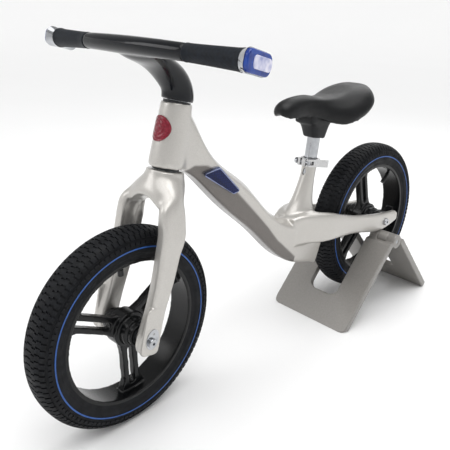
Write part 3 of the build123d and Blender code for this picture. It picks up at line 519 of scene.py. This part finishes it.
def smoked_lens():
    """Smoked blue polycarbonate with prisms moulded inside: dark, glossy, faceted."""
    material, tree, shader, place = new_material(
        "smoked blue polycarbonate", roughness=0.08, ior=1.585, specular=0.2
    )
    # The prisms are 4 mm across, in nearly even rows.
    cells = add_node(
        tree,
        "ShaderNodeTexVoronoi",
        None,
        {"Scale": 1 / (4 * MM), "Randomness": 0.25},
        {"Vector": place},
    ).outputs["Distance"]
    ramp = add_node(tree, "ShaderNodeValToRGB", None, None, {"Fac": cells})
    ramp.color_ramp.elements[0].color = linear("#0C1F5C")
    ramp.color_ramp.elements[1].color = linear("#030818")
    tree.links.new(ramp.outputs["Color"], shader.inputs["Base Color"])
    emboss(tree, shader, cells, 0.15 * MM, 0.3)
    return material


def silver_bezel():
    """Vacuum-metallised ABS: bright, with a blue tint painted in as the reflection of the blue lens that it
    frames.
    """
    material, tree, shader, place = new_material("metallised ABS", metallic=0.9, roughness=0.2)
    # The blue tint in both tones is a painted reflection of the lens.
    mottle(tree, shader, place, "#6E7798", "#8C94B2", 5 * MM)
    return material


def blue_housing():
    """Clear blue polycarbonate over a blue core: saturated and glossy."""
    material, tree, shader, place = new_material(
        "clear blue polycarbonate", roughness=0.12, ior=1.585, specular=0.4
    )
    mottle(tree, shader, place, "#102A78", "#1D449C", 8 * MM)
    return material


def frosted_lens():
    """Frosted polycarbonate over a small lamp: milky, and clouded from lilac to white."""
    material, tree, shader, place = new_material(
        "frosted polycarbonate", roughness=0.22, ior=1.585, coat=0.8, coat_roughness=0.05
    )
    mottle(tree, shader, place, "#8F97C8", "#E2E0F0", 9 * MM, 1.0)
    return material


def red_enamel():
    """Red vitreous enamel on an aluminium disc: glossy, with stamped rings below the glaze."""
    material, tree, shader, place = new_material(
        "red vitreous enamel", roughness=0.18, specular=0.4
    )
    mottle(tree, shader, place, "#6E1424", "#8E2436", 3 * MM)
    # Rings are stamped round the disc's middle, 5.236 mm apart.
    low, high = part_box("head_badge")
    middle = -(Vector(low) + Vector(high)) / 2
    about = add_node(tree, "ShaderNodeMapping", None, {"Location": middle}, {"Vector": place})
    waves = {"wave_type": "RINGS", "rings_direction": "SPHERICAL"}
    pitch = {"Scale": RING_PITCH / (5.236 * MM)}
    rings = add_node(tree, "ShaderNodeTexWave", waves, pitch, {"Vector": about.outputs["Vector"]})
    emboss(tree, shader, rings.outputs["Fac"], 0.35 * MM, 1.0)
    return material


def covered_valve():
    """Brass valve stem moulded into black rubber: matt and faintly clouded."""
    material, tree, shader, place = new_material(
        "rubber-covered valve", roughness=0.5, ior=1.5, specular=0.3
    )
    mottle(tree, shader, place, "#0C0D0E", "#151617", 2 * MM)
    return material


def cap_plastic():
    """Injection-moulded black polypropylene: slightly waxy."""
    material, tree, shader, place = new_material("black polypropylene", roughness=0.4, ior=1.49)
    mottle(tree, shader, place, "#101112", "#191A1C", 2 * MM)
    return material


def lamp_core():
    """Injection-moulded white ABS that carries the lamp: plain and satin."""
    material, tree, shader, place = new_material("white ABS", roughness=0.4, ior=1.53)
    mottle(tree, shader, place, "#C4C4C8", "#D8D8DC", 4 * MM)
    return material


FINISHES = {
    "pearl_white_paint": pearl_paint,
    "red_enamel": red_enamel,
    "light_bezel_plastic": silver_bezel,
    "smoked_blue_lens": smoked_lens,
    "bearing_steel": bearing_steel,
    "zinc_plated_steel": zinc_steel,
    "chromed_steel": chrome_plate,
    "polished_aluminium": polished_aluminium,
    "black_gloss_lacquer": black_lacquer,
    "black_grip_rubber": grip_rubber,
    "blue_clear_plastic": blue_housing,
    "lamp_core_plastic": lamp_core,
    "white_lens_plastic": frosted_lens,
    "black_satin_rim_paint": satin_rim_paint,
    "black_tyre_rubber": tyre_rubber,
    "inner_tube_rubber": tyre_rubber,
    "valve_brass": covered_valve,
    "black_cap_plastic": cap_plastic,
    "black_saddle_plastic": saddle_plastic,
    "black_saddle_vinyl": saddle_vinyl,
    "grey_stand_plastic": stand_plastic,
}
made = {}


def finish_of(slot):
    """The slot's material, made once."""
    if slot not in made:
        made[slot] = FINISHES[slot]()
    return made[slot]


def paint(piece, slot, *more):
    """Give a piece the slot's material, then any further ones."""
    wanted = (finish_of(slot), *more)
    while len(piece.data.materials) < len(wanted):
        piece.data.materials.append(None)
    for index, holder in enumerate(piece.material_slots):
        holder.material = wanted[min(index, len(wanted) - 1)]


# ---------------------------------------------------------------- sizes a user would change
class TyreSizes(bpy.types.PropertyGroup):
    """Sizes of both tyres."""

    pitches: IntProperty(
        name="Tread pitches",
        description="Number of tread blocks round the tyre",
        default=102,
        min=30,
        max=140,
    )
    block_height: FloatProperty(
        name="Block height",
        description="Height of a tread block",
        default=1.6 * MM,
        unit="LENGTH",
    )
    line_radius: FloatProperty(
        name="Line radius",
        description="Radius of the blue line",
        default=128.6 * MM,
        unit="LENGTH",
    )


class CastingSizes(bpy.types.PropertyGroup):
    """How softly the castings' corners are rounded."""

    grain: FloatProperty(
        name="Grain",
        description="Size of the recast frame's faces; the other castings are a little finer",
        default=2.0 * MM,
        min=1.2 * MM,
        unit="LENGTH",
    )
    soften: IntProperty(
        name="Softening",
        description="Passes that round the corners of the frame, fork and bar",
        default=6,
        min=0,
        max=40,
    )


class SaddleSizes(bpy.types.PropertyGroup):
    """The padded saddle."""

    loft: FloatProperty(
        name="Loft",
        description="How far the padding may swell",
        default=2.0 * MM,
        unit="LENGTH",
    )
    pressure: FloatProperty(
        name="Pressure", description="Pressure of the padding", default=4.0
    )


class StudioSettings(bpy.types.PropertyGroup):
    """Floor and lights."""

    floor_color: FloatVectorProperty(
        name="Floor colour",
        description="Colour of the floor",
        default=linear("#F4F4F4")[:3],
        subtype="COLOR",
        size=3,
        min=0,
        max=1,
    )
    light_power: FloatProperty(
        name="Light power",
        description="Power of the large soft light, which the other two follow",
        default=12.0,
        unit="POWER",
    )
    sky_strength: FloatProperty(
        name="Sky strength",
        description="Strength of the wide light overhead",
        default=1.7,
    )


# ---------------------------------------------------------------- pieces
def tyre_outline(sizes):
    """Half outline of the tyre's outside, as (across, radius, row) from the bead to the crown.

    Across and radius are in millimetres. A stretch of the outline takes the row of blocks, or
    the line, that its first point names, and is plain rubber if either of its ends has None.
    """
    line = sizes.line_radius / MM
    return [
        (18.4, 109.8, None),
        (20.6, 110.6, None),
        (21.6, 112.6, None),
        (21.4, 114.6, None),
        (22.4, 117.0, None),
        (22.9, 118.6, None),
        (23.6, 119.4, None),
        (24.0, 122.0, None),
        (24.2, 125.0, None),
        (24.3, line - 1.2, None),
        (24.9, line - 1.0, "line"),
        (24.9, line + 1.0, "line"),
        (24.3, line + 1.2, None),
        (24.2, 132.4, None),
        (23.9, 133.6, 0),
        (23.2, 138.0, 0),
        (22.9, 138.6, None),
        (21.6, 141.6, 1),
        (19.6, 144.4, 1),
        (17.0, 146.6, 2),
        (14.2, 148.2, 2),
        (11.2, 149.2, 3),
        (8.4, 149.8, 3),
        (5.6, 150.1, 4),
        (2.8, 150.25, 4),
        (0.0, 150.3, 5),
    ]


# The tyre's inside, as (across, radius) in millimetres from the bead to the crown.
TYRE_LINING = ((14.0, 112.0), (19.5, 122.0), (20.2, 131.0), (17.0, 140.0), (9.0, 145.0))
# A pitch of the tread is this many steps long: one of them is the groove, the rest the block.
PITCH_STEPS = 4
# How many steps each row of blocks is set back, which makes the grooves climb like stairs.
TREAD_STEPS = (0, 1, 2, 1, 2, 3)
# How near a face's middle has to be to a stretch of the outline to belong to it, in millimetres.
ROW_REACH = 0.2
# Edges sharper than this stay crisp.
TREAD_CREASE = math.radians(35)


def build_tyre(wheel, joint, sizes):
    """Tyre with its blue line, moulded rings and stepped tread blocks."""
    half = tyre_outline(sizes)
    outline = [(-a, r) for a, r, _ in half] + [(a, r) for a, r, _ in reversed(half[:-1])]
    lining = [*TYRE_LINING, *((-a, r) for a, r in reversed(TYRE_LINING))]
    ring = [(a * MM, r * MM) for a, r in (*outline, *lining)]
    steps = sizes.pitches * PITCH_STEPS
    build = spun(ring, steps, closed=True)
    pick = []
    for face in build.faces:
        centre = face.calc_center_median()
        across, radius = abs(centre.z) / MM, centre.xy.length / MM
        row = row_at(half, across, radius)
        if row == "line":
            face.material_index = 1
        elif row is not None:
            turn = math.floor(math.atan2(centre.y, centre.x) / math.tau * steps)
            if (turn + TREAD_STEPS[row]) % PITCH_STEPS != 0:
                pick.append(face)
    raised = bmesh.ops.extrude_face_region(build, geom=pick)
    bmesh.ops.delete(build, geom=pick, context="FACES_ONLY")
    for vert in (item for item in raised["geom"] if isinstance(item, bmesh.types.BMVert)):
        out = Vector((vert.co.x, vert.co.y, 0)).normalized()
        lean = Vector((0, 0, math.copysign(lean_at(abs(vert.co.z) / MM), vert.co.z)))
        vert.co += (out + lean).normalized() * sizes.block_height
    turned = Matrix.Rotation(-math.pi / 2, 3, "X")
    bmesh.ops.rotate(build, verts=build.verts, cent=(0, 0, 0), matrix=turned)
    bmesh.ops.transform(build, matrix=wheel_place(joint), verts=build.verts)
    bmesh.ops.recalc_face_normals(build, faces=build.faces)
    piece = new_piece(
        f"{wheel}_tyre_tread", build, f"{wheel}_wheel", (f"{wheel}_tyre",)
    )
    piece.data.set_sharp_from_angle(angle=TREAD_CREASE)
    paint(piece, "black_tyre_rubber", finish_line())


def row_at(half, across, radius):
    """The tread row, or the line, that a face of the tyre's outside belongs to, or None."""
    for (a0, r0, row0), (a1, r1, row1) in zip(half, half[1:]):
        off = math.hypot(across - (a0 + a1) / 2, radius - (r0 + r1) / 2)
        if off < ROW_REACH and row0 is not None and row1 is not None:
            return row0
    return None


def lean_at(across):
    """How much a block leans sideways as it rises, by its distance from the crown in mm."""
    return max(0.0, (across - 6) / 10)


def finish_line():
    """Blue rubber of the line, made once for both tyres."""
    if "line" not in made:
        made["line"] = blue_line_rubber()
    return made["line"]


class BIKE_OT_tyres(bpy.types.Operator):
    """Make both tyres with their tread"""

    bl_idname = "bike.tyres"
    bl_label = "Tyres"

    def execute(self, context):
        for wheel in ("front", "rear"):
            build_tyre(wheel, f"{wheel}_wheel_spin", context.scene.bike_tyres)
        return {"FINISHED"}


# What is recast: node, piece, body, slot, mesh size against the grain, and smoothing passes,
# where None takes the user's number.
CASTINGS = (
    ("frame", "frame_casting", "frame", "pearl_white_paint", 1.0, None),
    ("fork", "fork_casting", "steering", "pearl_white_paint", 0.8, None),
    ("handlebar_stem", "bar_casting", "steering", "black_gloss_lacquer", 0.8, None),
    ("front_rim", "front_rim_casting", "front_wheel", "black_satin_rim_paint", 0.7, 2),
    ("rear_rim", "rear_rim_casting", "rear_wheel", "black_satin_rim_paint", 0.7, 2),
    ("stand_front_plate", "stand_front_moulding", "stand", "grey_stand_plastic", 0.8, 3),
    ("stand_rear_plate", "stand_rear_moulding", "stand_rear", "grey_stand_plastic", 0.8, 3),
    ("saddle_socket", "saddle_socket_moulding", "seat", "black_saddle_plastic", 0.6, 3),
)

# Details of the fork, in millimetres in the steering's frame: a housing that stands proud of a
# leg's outside round the axle, the pockets that hollow its inside, and the shoulders, where the
# legs flow into the crown.
HOUSING = ((25, 54.2, 14), (31, 6, 70), 8)
POCKET_MIDDLES = ((2, 36, 136), (22, 36, 136))
POCKET_SIZE = (14, 9, 96)
SHOULDERS = ((10, -46, 193), (10, 0, 193), (10, 46, 193))
SHOULDER_REACH = 41 * MM

# The socket's neck, which reaches up to the cushion, and the ball in which the two flow together.
NECK = (
    Matrix.Translation((30 * MM, 0, 408 * MM)) @ Matrix.Rotation(math.pi / 2, 4, "X"),
    Vector((66, 20, 42)) * MM,
    4 * MM,
)
NECK_BLEND = ((0.03, 0.0, 0.4), 0.06)

# Where the frame's tubes flow into each other: behind the head tube and under the seat tube.
FRAME_BLENDS = (
    ((0.352, 0.0, 0.385), 0.05),
    ((0.352, 0.0, 0.43), 0.05),
    ((0.0, 0.0, 0.25), 0.085),
    ((-0.03, 0.03, 0.235), 0.05),
    ((-0.03, -0.03, 0.235), 0.05),
)


class BIKE_OT_castings(bpy.types.Operator):
    """Recast the frame, fork, bar, rims, stand and saddle socket with rounded corners"""

    bl_idname = "bike.castings"
    bl_label = "Castings"

    def execute(self, context):
        sizes = context.scene.bike_castings
        housings = [steering_block(side, *HOUSING) for _, side in SIDES]
        pockets = [
            steering_block(side, middle, POCKET_SIZE)
            for _, side in SIDES
            for middle in POCKET_MIDDLES
        ]
        shoulders = [
            (steering_place() @ (Vector(place) * MM), SHOULDER_REACH) for place in SHOULDERS
        ]
        details = {
            "frame": {"blends": FRAME_BLENDS},
            "saddle_socket": {"added": [NECK], "blends": [NECK_BLEND]},
            "fork": {"added": housings, "cut": pockets, "blends": shoulders},
        }
        for node, name, body, slot, fineness, passes in CASTINGS:
            grain = sizes.grain * fineness
            soften = sizes.soften if passes is None else passes
            piece = casting(node, name, body, slot, grain, soften, **details.get(node, {}))
            if node == "frame":
                # Painted shade goes on the frame's down tube flanks.
                paint_flank_shade(piece)
            paint(piece, slot)
        return {"FINISHED"}


# The crease along the down tube's flank, below which shade is painted, as (x, z) in millimetres from the foot to
# the head.
CREASE = (
    (84, 164),
    (99, 178),
    (134, 210),
    (161, 241),
    (202, 284),
    (241, 323),
    (270, 356),
    (296, 371),
    (318, 374),
    (341, 366),
    (374, 340),
)
# The painted shade fades in over this depth below the crease, where the surface turns down past this upward share
# of its normal, over this share.
PAINTED_SHADE_FADE = 3 * MM
FLANK_UP = 0.6
FLANK_TURN = 0.1


def crease_height(x):
    """Height of the crease at a place along the bike, both in metres, or 0 beyond its ends."""
    for (x0, z0), (x1, z1) in zip(CREASE, CREASE[1:]):
        if x0 <= x / MM <= x1:
            return (z0 + (z1 - z0) * (x / MM - x0) / (x1 - x0)) * MM
    return 0.0


def paint_flank_shade(piece):
    """Mark the down tube's flanks, below its crease, where shade is painted in a darker grey."""
    mark = piece.data.attributes.new("painted_flank_shade", "FLOAT", "POINT")
    for vert in piece.data.vertices:
        under = (crease_height(vert.co.x) - vert.co.z) / PAINTED_SHADE_FADE
        turned = (FLANK_UP - vert.normal.z) / FLANK_TURN
        mark.data[vert.index].value = min(1.0, max(0.0, under)) * min(1.0, max(0.0, turned))


# A grip's outline, as (along the bar, radius) in millimetres from the stem's side outward.
GRIP_OUTLINE = (
    (93.2, 8.9),
    (93.2, 10.2),
    (93.6, 10.7),
    (95.4, 10.8),
    (96.0, 10.5),
    (110.0, 10.75),
    (130.0, 11.2),
    (150.0, 11.8),
    (164.0, 12.2),
    (170.0, 12.7),
    (171.8, 13.1),
    (172.6, 13.1),
    (172.9, 12.8),
    (172.9, 8.9),
)
GRIP_STEPS = 72
GRIP_EDGE = 0.3 * MM


class BIKE_OT_grips(bpy.types.Operator):
    """Make both rubber grips with their end flanges"""

    bl_idname = "bike.grips"
    bl_label = "Grips"

    def execute(self, context):
        for name, side in SIDES:
            outline = [(along * MM, radius * MM) for along, radius in GRIP_OUTLINE]
            build = spun(outline, GRIP_STEPS, closed=True)
            bmesh.ops.transform(build, matrix=grip_place(side), verts=build.verts)
            bmesh.ops.recalc_face_normals(build, faces=build.faces)
            grip = new_piece(
                f"grip_sleeve_{name}", build, "steering", (f"grip_{name}",)
            )
            paint(grip, "black_grip_rubber")
            soften_edges(grip)
        return {"FINISHED"}


def soften_edges(piece):
    """Finish a grip with a small bevel on its sharp edges."""
    bevel = piece.modifiers.new("Edge", "BEVEL")
    bevel.width = GRIP_EDGE
    bevel.segments = 2
    bevel.limit_method = "ANGLE"
    bevel.angle_limit = math.radians(40)


CUSHION_GRAIN = 2.6 * MM
CUSHION_PASSES = 4
# Frames that the cushion's cloth is let swell for.
SWELL_FRAMES = 20


class BIKE_OT_saddle(bpy.types.Operator):
    """Pad the saddle by inflating its skin over the foam"""

    bl_idname = "bike.saddle"
    bl_label = "Saddle"

    def execute(self, context):
        pad = casting(
            "saddle_pad",
            "saddle_cushion",
            "seat",
            "black_saddle_vinyl",
            CUSHION_GRAIN,
            CUSHION_PASSES,
            also=("saddle_base",),
        )
        swell(pad, context.scene.bike_saddle)
        finer = pad.modifiers.new("Skin", "SUBSURF")
        finer.levels = finer.render_levels = 1
        settle(pad)
        shade_smooth(pad.data)
        paint(pad, "black_saddle_vinyl")
        return {"FINISHED"}


def swell(pad, sizes):
    """Inflate a pad's skin with cloth, and cap how far each point moves."""
    scene = bpy.context.scene
    start = [vert.co.copy() for vert in pad.data.vertices]
    cloth = pad.modifiers.new("Padding", "CLOTH")
    cloth.settings.use_pressure = True
    cloth.settings.uniform_pressure_force = sizes.pressure
    cloth.settings.effector_weights.gravity = 0
    for step in range(1, SWELL_FRAMES + 1):
        scene.frame_set(step)
    settle(pad)
    scene.frame_set(1)
    for vert, old in zip(pad.data.vertices, start):
        move = vert.co - old
        if move.length > sizes.loft:
            vert.co = old + move.normalized() * sizes.loft


class BIKE_OT_fittings(bpy.types.Operator):
    """Give the fittings that keep their CAD shape their finishes"""

    bl_idname = "bike.fittings"
    bl_label = "Fittings"

    def execute(self, context):
        slots = {part["node"]: part["material_slot"] for part in frame["record"]["subparts"]}
        for name, node in frame["nodes"].items():
            if not node.hide_render:
                paint(node, slots[name])
        return {"FINISHED"}


# ---------------------------------------------------------------- studio
# The floor's outline, as (up, out) in metres: flat, then rising far away all round.
FLOOR_OUTLINE = (
    (0.0, 0.0),
    (0.0, 6.0),
    (0.05, 7.0),
    (0.2, 8.0),
    (0.5, 9.0),
    (1.0, 10.0),
    (2.0, 11.0),
    (5.0, 12.5),
)
FLOOR_STEPS = 96
# The floor lies just under the tyres, and its brightness varies down to this share.
FLOOR_DROP = 0.2 * MM
FLOOR_SHADE = 0.985

# Square soft lights: name, place in metres, width in metres, and share of the light power.
SOFT_LIGHTS = (
    ("key", (0.2, 0.5, 2.2), 1.5, 1.0),
    ("side", (1.6, -0.9, 1.3), 0.8, 0.45),
    ("back", (-1.3, -0.5, 1.5), 1.0, 0.5),
)
LIGHT_AIM = Vector((0.1, 0, 0.25))
SKY_SPREAD = math.radians(70)
SKY_TILT = math.radians(8)
AIR_STRENGTH = 0.42

CAMERA_PLACE = (0.814484, 0.605056, 0.584675)
CAMERA_RIGHT = (-0.73081, 0.68237, 0.01721)
CAMERA_UP = (-0.23720, -0.27753, 0.93097)
CAMERA_LENS = 44.9
CAMERA_SENSOR = 36
CAMERA_CLIP = 0.02


class BIKE_OT_stage(bpy.types.Operator):
    """Make the floor, the soft lights and the camera"""

    bl_idname = "bike.stage"
    bl_label = "Studio"

    def execute(self, context):
        scene = context.scene
        settings = scene.bike_studio
        build = spun(FLOOR_OUTLINE, FLOOR_STEPS)
        mesh = bpy.data.meshes.new("studio_floor")
        build.to_mesh(mesh)
        build.free()
        floor = bpy.data.objects.new("studio_floor", mesh)
        scene.collection.objects.link(floor)
        material, tree, shader, place = new_material("matt white floor paint", roughness=0.75)
        tint = tuple(settings.floor_color) + (1,)
        # The floor's clouds are half a metre across.
        cloud = noise_height(tree, place, 500 * MM)
        ramp = add_node(tree, "ShaderNodeValToRGB", None, None, {"Fac": cloud})
        ramp.color_ramp.elements[0].color = tuple(FLOOR_SHADE * c for c in tint[:3]) + (1,)
        ramp.color_ramp.elements[1].color = tint
        tree.links.new(ramp.outputs["Color"], shader.inputs["Base Color"])
        floor.data.materials.append(material)
        shade_smooth(floor.data)
        floor.data.transform(Matrix.Translation((0, 0, -FLOOR_DROP)))
        for name, place, width, share in SOFT_LIGHTS:
            soft_light(name, place, width, settings.light_power * share)
        sky = bpy.data.objects.new("sky", bpy.data.lights.new("sky", "SUN"))
        sky.data.energy = settings.sky_strength
        sky.data.angle = SKY_SPREAD
        sky.rotation_euler = (-SKY_TILT, SKY_TILT, 0)
        scene.collection.objects.link(sky)
        world = bpy.data.worlds.new("studio air")
        world.use_nodes = True
        background = world.node_tree.nodes["Background"]
        background.inputs["Color"].default_value = (1, 1, 1, 1)
        background.inputs["Strength"].default_value = AIR_STRENGTH
        scene.world = world
        scene.view_settings.view_transform = "Standard"
        right, up = Vector(CAMERA_RIGHT), Vector(CAMERA_UP)
        camera = bpy.data.objects.new("camera", bpy.data.cameras.new("camera"))
        camera.data.lens = CAMERA_LENS
        camera.data.sensor_width = CAMERA_SENSOR
        camera.data.clip_start = CAMERA_CLIP
        turn = Matrix((right, up, right.cross(up))).transposed().to_4x4()
        camera.matrix_world = Matrix.Translation(CAMERA_PLACE) @ turn
        scene.collection.objects.link(camera)
        scene.camera = camera
        return {"FINISHED"}


def soft_light(name, place, width, power):
    """A square soft light that points at the middle of the bike."""
    lamp = bpy.data.lights.new(name, "AREA")
    lamp.size = width
    lamp.energy = power
    light = bpy.data.objects.new(name, lamp)
    light.location = place
    aim = LIGHT_AIM - Vector(place)
    light.rotation_mode = "QUATERNION"
    light.rotation_quaternion = aim.to_track_quat("-Z", "Y")
    bpy.context.scene.collection.objects.link(light)


class BIKE_PT_panel(bpy.types.Panel):
    """Sidebar panel with the bike's sizes and pieces"""

    bl_idname = "BIKE_PT_panel"
    bl_label = "Balance Bike"
    bl_space_type = "VIEW_3D"
    bl_region_type = "UI"
    bl_category = "Balance Bike"

    def draw(self, context):
        scene = context.scene
        for group in (scene.bike_tyres, scene.bike_castings, scene.bike_saddle, scene.bike_studio):
            for name in group.bl_rna.properties.keys():
                if name not in {"rna_type", "name"}:
                    self.layout.prop(group, name)
        for operator in OPERATORS:
            self.layout.operator(operator.bl_idname)


OPERATORS = (
    BIKE_OT_castings,
    BIKE_OT_tyres,
    BIKE_OT_grips,
    BIKE_OT_saddle,
    BIKE_OT_fittings,
    BIKE_OT_stage,
)
GROUPS = (
    ("bike_tyres", TyreSizes),
    ("bike_castings", CastingSizes),
    ("bike_saddle", SaddleSizes),
    ("bike_studio", StudioSettings),
)


def register():
    """Register the sizes, operators and panel."""
    for name, group in GROUPS:
        bpy.utils.register_class(group)
        setattr(bpy.types.Scene, name, PointerProperty(type=group))
    for operator in OPERATORS:
        bpy.utils.register_class(operator)
    bpy.utils.register_class(BIKE_PT_panel)


def unregister():
    """Undo register."""
    bpy.utils.unregister_class(BIKE_PT_panel)
    for operator in reversed(OPERATORS):
        bpy.utils.unregister_class(operator)
    for name, group in reversed(GROUPS):
        delattr(bpy.types.Scene, name)
        bpy.utils.unregister_class(group)


def main():
    """Make every piece, then the studio."""
    register()
    bpy.ops.bike.castings()
    bpy.ops.bike.tyres()
    bpy.ops.bike.grips()
    bpy.ops.bike.saddle()
    bpy.ops.bike.fittings()
    bpy.ops.bike.stage()


if __name__ == "__main__":
    main()
